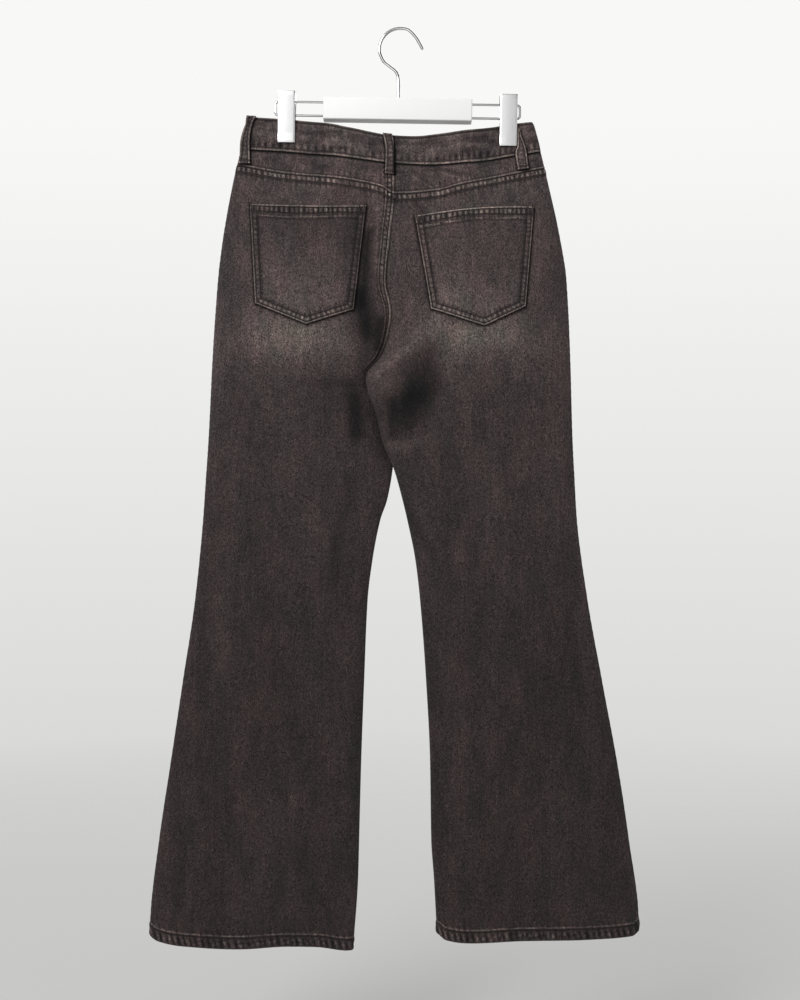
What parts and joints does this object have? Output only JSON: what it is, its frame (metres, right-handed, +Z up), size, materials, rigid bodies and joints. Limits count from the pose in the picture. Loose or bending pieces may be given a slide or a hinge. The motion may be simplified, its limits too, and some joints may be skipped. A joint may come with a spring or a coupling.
{
  "type": "flared jeans on a clip hanger",
  "caption": "Flared denim jeans with patch back pockets, hung flat by the waistband from a clip hanger.",
  "frame": {"origin": "where the hanger's hook rests, under the crown of its curve", "axes": "+Z up, +X to the right seen from the back of the jeans, +Y towards the front of the jeans"},
  "size_m": [0.6136, 0.0551, 1.1524],
  "materials": {
    "denim": "washed brown-grey denim",
    "button_metal": "aged metal",
    "hanger_white": "smooth white paint",
    "hook_chrome": "polished",
    "clip_metal": "satin"
  },
  "bodies": {
    "root": {"back_left": "denim", "back_right": "denim", "yoke_left": "denim", "yoke_right": "denim", "front_left": "denim", "front_right": "denim", "pocket_facing_left": "denim", "pocket_facing_right": "denim", "back_pocket_left": "denim", "back_pocket_right": "denim", "waistband": "denim", "belt_loop_back": "denim", "belt_loop_back_left": "denim", "belt_loop_back_right": "denim", "belt_loop_front_left": "denim", "belt_loop_front_right": "denim", "waist_button": "button_metal", "hanger_block": "hanger_white", "hook": "hook_chrome", "rail_left": "hook_chrome", "rail_right": "hook_chrome", "jaw_back_left": "clip_metal", "jaw_back_right": "clip_metal", "jaw_front_left": "clip_metal", "jaw_front_right": "clip_metal", "clip_spring_left": "hook_chrome", "clip_spring_right": "hook_chrome"}
  },
  "joints": []
}
